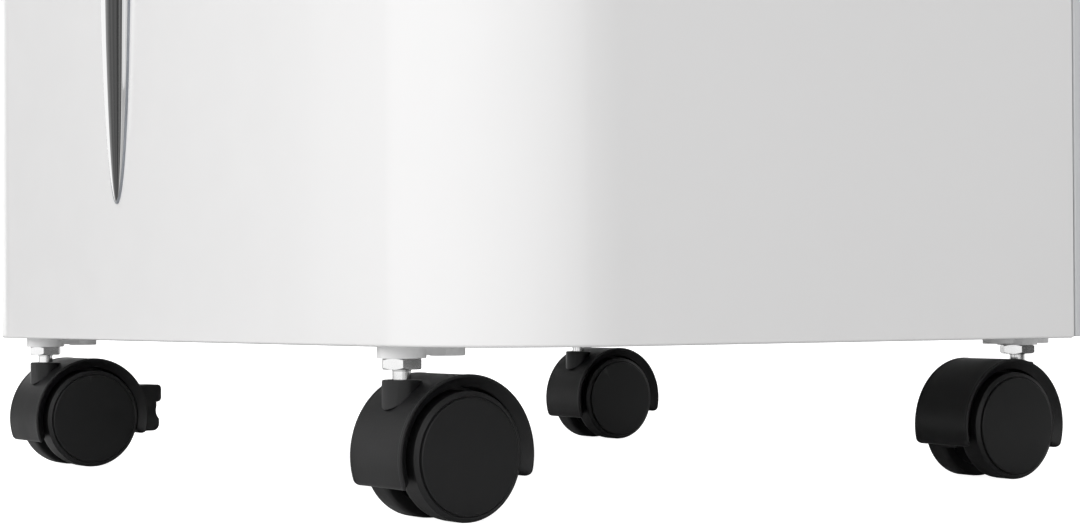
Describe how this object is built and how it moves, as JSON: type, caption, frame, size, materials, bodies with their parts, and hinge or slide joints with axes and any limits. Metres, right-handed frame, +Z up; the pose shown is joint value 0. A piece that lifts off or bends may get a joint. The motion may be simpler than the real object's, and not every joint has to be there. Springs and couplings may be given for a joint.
{
  "type": "dehumidifier",
  "caption": "Upright white room dehumidifier with a chrome front blade, rear water tank and grille, top louvres, and black twin-wheel swivel casters.",
  "frame": {"origin": "on the floor under the middle of the cabinet", "axes": "+Z up, -Y the front with the chrome blade, +X to the right when facing the front"},
  "size_m": [0.4, 0.335, 0.6152],
  "materials": {
    "white_gloss": "gloss white moulded ABS",
    "grey_plastic": "pale grey moulded ABS, fine texture",
    "black_plastic": "black nylon, fine spark texture",
    "black_wheel": "black nylon wheel, satin",
    "gloss_black": "gloss black control overlay",
    "display_glass": "smoked clear window",
    "chrome": "bright chrome plate on plastic",
    "zinc_steel": "bright zinc plate",
    "seal_rubber": "soft black rubber",
    "circuit_board": "green laminate with black parts",
    "coil_aluminium": "bare fins on tubes",
    "copper_pipe": "bare copper tube",
    "black_steel": "black enamel",
    "motor_steel": "grey enamel",
    "tank_clear": "translucent moulded plastic"
  },
  "bodies": {
    "cabinet": {"front_shell": "white_gloss", "rear_shell": "grey_plastic", "rear_corners": "grey_plastic", "base_pan": "grey_plastic", "top_cover": "white_gloss", "inner_frame": "grey_plastic", "bay_walls": "grey_plastic", "filter_rails": "grey_plastic", "side_grips": "grey_plastic", "chrome_trim": "chrome", "control_panel": "gloss_black", "display_window": "display_glass", "rear_grille": "grey_plastic", "mains_gland": "black_plastic", "drain_cup": "grey_plastic", "drain_spout": "black_plastic", "service_panel": "grey_plastic", "case_screws": "zinc_steel", "control_board": "circuit_board", "tank_switch": "black_plastic", "drip_tray": "black_plastic", "evaporator": "coil_aluminium", "condenser": "coil_aluminium", "refrigerant_pipes": "copper_pipe", "compressor": "black_steel", "compressor_grommets": "seal_rubber", "fan_housing": "grey_plastic", "fan_motor": "motor_steel", "caster_stems": "zinc_steel"},
    "rotor": {"motor_shaft": "zinc_steel", "fan_wheel": "black_plastic"},
    "filter": {"air_filter": "black_plastic"},
    "vane_front": {"louvre_front": "white_gloss"},
    "vane_middle": {"louvre_middle": "white_gloss"},
    "vane_rear": {"louvre_rear": "white_gloss"},
    "key_power": {"button_power": "grey_plastic"},
    "key_mode": {"button_mode": "grey_plastic"},
    "key_speed": {"button_speed": "grey_plastic"},
    "key_timer": {"button_timer": "grey_plastic"},
    "plug": {"drain_plug": "seal_rubber"},
    "tank": {"water_tank": "tank_clear", "tank_lid": "grey_plastic"},
    "float": {"tank_float": "grey_plastic"},
    "lever_fl": {"brake_lever": "black_plastic"},
    "caster_fl": {"caster_hood_fl": "black_plastic", "caster_axle_fl": "zinc_steel"},
    "wheel_fl_left_turn": {"wheel_fl_left": "black_wheel"},
    "wheel_fl_right_turn": {"wheel_fl_right": "black_wheel"},
    "caster_fr": {"caster_hood_fr": "black_plastic", "caster_axle_fr": "zinc_steel"},
    "wheel_fr_left_turn": {"wheel_fr_left": "black_wheel"},
    "wheel_fr_right_turn": {"wheel_fr_right": "black_wheel"},
    "caster_rl": {"caster_hood_rl": "black_plastic", "caster_axle_rl": "zinc_steel"},
    "wheel_rl_left_turn": {"wheel_rl_left": "black_wheel"},
    "wheel_rl_right_turn": {"wheel_rl_right": "black_wheel"},
    "caster_rr": {"caster_hood_rr": "black_plastic", "caster_axle_rr": "zinc_steel"},
    "wheel_rr_left_turn": {"wheel_rr_left": "black_wheel"},
    "wheel_rr_right_turn": {"wheel_rr_right": "black_wheel"}
  },
  "joints": [
    {"name": "fan_spin", "type": "hinge", "parent": "cabinet", "child": "rotor", "pos_m": [0, 0, 0.4], "axis": [0, 1, 0], "continuous": true},
    {"name": "filter_lift", "type": "slide", "parent": "cabinet", "child": "filter", "axis": [0, 0, 1], "range_m": [0, 0.33]},
    {"name": "louvre_front_turn", "type": "hinge", "parent": "cabinet", "child": "vane_front", "pos_m": [0, 0.014, 0.604], "axis": [1, 0, 0], "range_deg": [0, 75]},
    {"name": "louvre_middle_turn", "type": "hinge", "parent": "cabinet", "child": "vane_middle", "pos_m": [0, 0.036, 0.604], "axis": [1, 0, 0], "range_deg": [0, 75]},
    {"name": "louvre_rear_turn", "type": "hinge", "parent": "cabinet", "child": "vane_rear", "pos_m": [0, 0.058, 0.604], "axis": [1, 0, 0], "range_deg": [0, 75]},
    {"name": "press_power", "type": "slide", "parent": "cabinet", "child": "key_power", "axis": [0, 0, -1], "range_m": [0, 0.001], "stiffness_N_per_m": 400},
    {"name": "press_mode", "type": "slide", "parent": "cabinet", "child": "key_mode", "axis": [0, 0, -1], "range_m": [0, 0.001], "stiffness_N_per_m": 400},
    {"name": "press_speed", "type": "slide", "parent": "cabinet", "child": "key_speed", "axis": [0, 0, -1], "range_m": [0, 0.001], "stiffness_N_per_m": 400},
    {"name": "press_timer", "type": "slide", "parent": "cabinet", "child": "key_timer", "axis": [0, 0, -1], "range_m": [0, 0.001], "stiffness_N_per_m": 400},
    {"name": "plug_pull", "type": "slide", "parent": "cabinet", "child": "plug", "axis": [0, 1, 0], "range_m": [0, 0.03]},
    {"name": "tank_slide", "type": "slide", "parent": "cabinet", "child": "tank", "axis": [0, 1, 0], "range_m": [0, 0.19]},
    {"name": "float_swing", "type": "hinge", "parent": "tank", "child": "float", "pos_m": [-0.11, 0.045, 0.222], "axis": [-1, 0, 0], "range_deg": [0, 25]},
    {"name": "swivel_fl", "type": "hinge", "parent": "cabinet", "child": "caster_fl", "pos_m": [-0.1405, -0.1535, 0.0434], "axis": [0, 0, 1], "continuous": true},
    {"name": "roll_fl_left", "type": "hinge", "parent": "caster_fl", "child": "wheel_fl_left_turn", "pos_m": [-0.14089, -0.1385, 0.02], "axis": [-0.9997, -0.0262, 0], "continuous": true},
    {"name": "roll_fl_right", "type": "hinge", "parent": "caster_fl", "child": "wheel_fl_right_turn", "pos_m": [-0.14089, -0.1385, 0.02], "axis": [-0.9997, -0.0262, 0], "continuous": true},
    {"name": "swivel_fr", "type": "hinge", "parent": "cabinet", "child": "caster_fr", "pos_m": [0.1405, -0.1535, 0.0434], "axis": [0, 0, 1], "continuous": true},
    {"name": "roll_fr_left", "type": "hinge", "parent": "caster_fr", "child": "wheel_fr_left_turn", "pos_m": [0.14, -0.13851, 0.02], "axis": [-0.9995, -0.0332, 0], "continuous": true},
    {"name": "roll_fr_right", "type": "hinge", "parent": "caster_fr", "child": "wheel_fr_right_turn", "pos_m": [0.14, -0.13851, 0.02], "axis": [-0.9995, -0.0332, 0], "continuous": true},
    {"name": "swivel_rl", "type": "hinge", "parent": "cabinet", "child": "caster_rl", "pos_m": [-0.1405, 0.1235, 0.0434], "axis": [0, 0, 1], "continuous": true},
    {"name": "roll_rl_left", "type": "hinge", "parent": "caster_rl", "child": "wheel_rl_left_turn", "pos_m": [-0.14037, 0.1385, 0.02], "axis": [-1, 0.0087, 0], "continuous": true},
    {"name": "roll_rl_right", "type": "hinge", "parent": "caster_rl", "child": "wheel_rl_right_turn", "pos_m": [-0.14037, 0.1385, 0.02], "axis": [-1, 0.0087, 0], "continuous": true},
    {"name": "swivel_rr", "type": "hinge", "parent": "cabinet", "child": "caster_rr", "pos_m": [0.1405, 0.1235, 0.0434], "axis": [0, 0, 1], "continuous": true},
    {"name": "roll_rr_left", "type": "hinge", "parent": "caster_rr", "child": "wheel_rr_left_turn", "pos_m": [0.13951, 0.10853, 0.02], "axis": [0.9978, -0.0663, 0], "continuous": true},
    {"name": "roll_rr_right", "type": "hinge", "parent": "caster_rr", "child": "wheel_rr_right_turn", "pos_m": [0.13951, 0.10853, 0.02], "axis": [0.9978, -0.0663, 0], "continuous": true},
    {"name": "brake_press", "type": "hinge", "parent": "caster_fl", "child": "lever_fl", "pos_m": [-0.14149, -0.11561, 0.0232], "axis": [-0.9997, -0.0262, 0], "range_deg": [0, 12]}
  ],
  "couplings": [
    {"joint": "louvre_front_turn", "follows": "louvre_middle_turn", "ratio": 1},
    {"joint": "louvre_rear_turn", "follows": "louvre_middle_turn", "ratio": 1}
  ]
}
